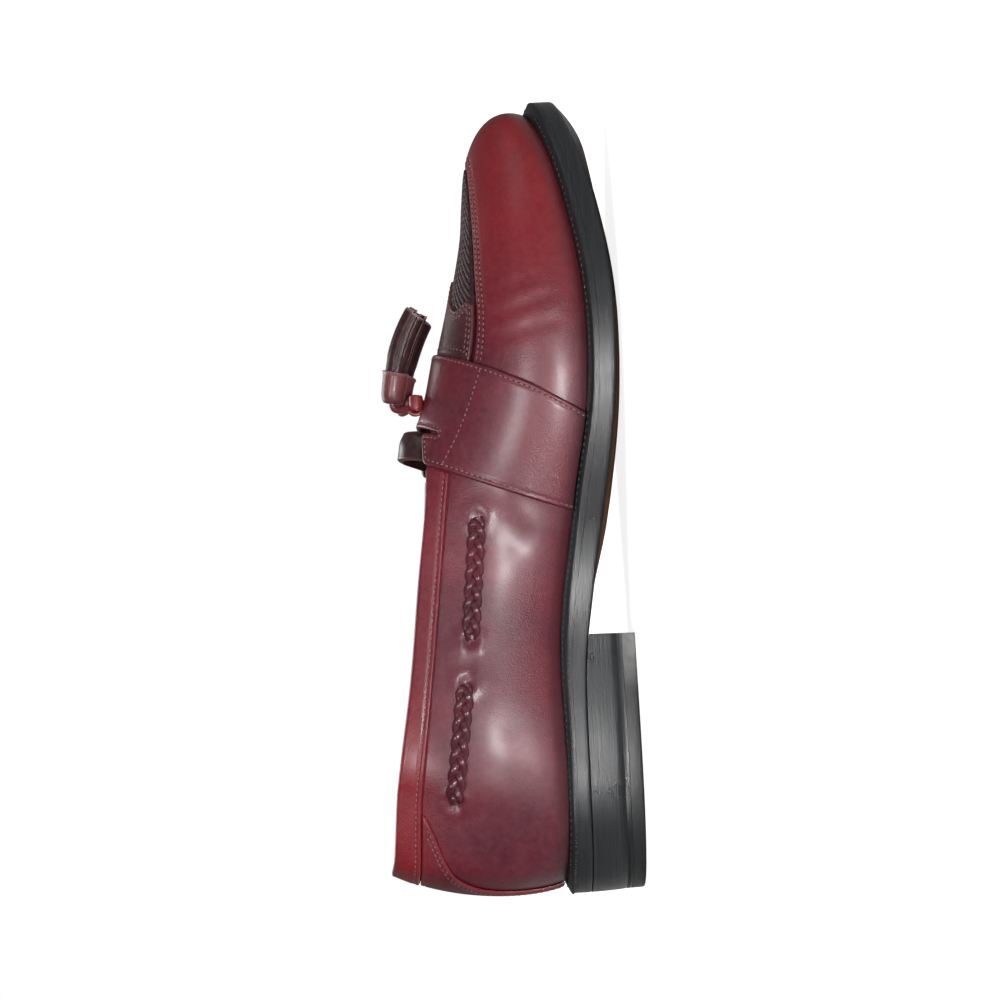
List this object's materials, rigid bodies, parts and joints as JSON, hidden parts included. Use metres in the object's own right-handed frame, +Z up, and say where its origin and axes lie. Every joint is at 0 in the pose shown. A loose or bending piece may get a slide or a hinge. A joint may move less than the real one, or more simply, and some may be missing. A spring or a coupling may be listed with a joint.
{
  "type": "tassel loafer",
  "caption": "Men's burgundy leather tassel loafer, left shoe, with a woven apron, strap saddle, braided side lacing and a black-edged leather sole with a low heel",
  "frame": {"origin": "on the floor under the heel's flat bottom, on its centre line, 43 mm ahead of the shoe's back", "axes": "+X to the toe, +Y to the outer side of the foot, +Z up; the inner side faces -Y"},
  "size_m": [0.2912, 0.1014, 0.0911],
  "materials": {
    "burgundy_leather": "polished burgundy calf, rubbed redder at toe and topline",
    "woven_leather": "dark narrow leather strips woven on the diagonal",
    "dark_leather": "smooth near-black burgundy leather",
    "edge_black": "black edge ink over stacked leather, worn grey",
    "sole_leather": "brown oak-bark sole leather, worn",
    "lift_rubber": "hard black rubber heel lift",
    "insole_leather": "tan insole leather, matt"
  },
  "bodies": {
    "root": {"outsole": "sole_leather", "welt": "edge_black", "insole": "insole_leather", "heel_stack": "edge_black", "top_lift": "lift_rubber", "upper": "burgundy_leather", "tongue": "dark_leather", "saddle": "burgundy_leather", "woven_apron": "woven_leather", "apron_panel": "burgundy_leather", "collar_band": "burgundy_leather", "back_strap": "burgundy_leather", "braid_medial_front": "burgundy_leather", "braid_medial_rear": "burgundy_leather", "braid_lateral_front": "burgundy_leather", "braid_lateral_rear": "burgundy_leather", "thong_knot": "burgundy_leather", "thong_medial": "dark_leather", "thong_lateral": "dark_leather", "tassel_medial": "burgundy_leather", "tassel_lateral": "burgundy_leather"}
  },
  "joints": []
}
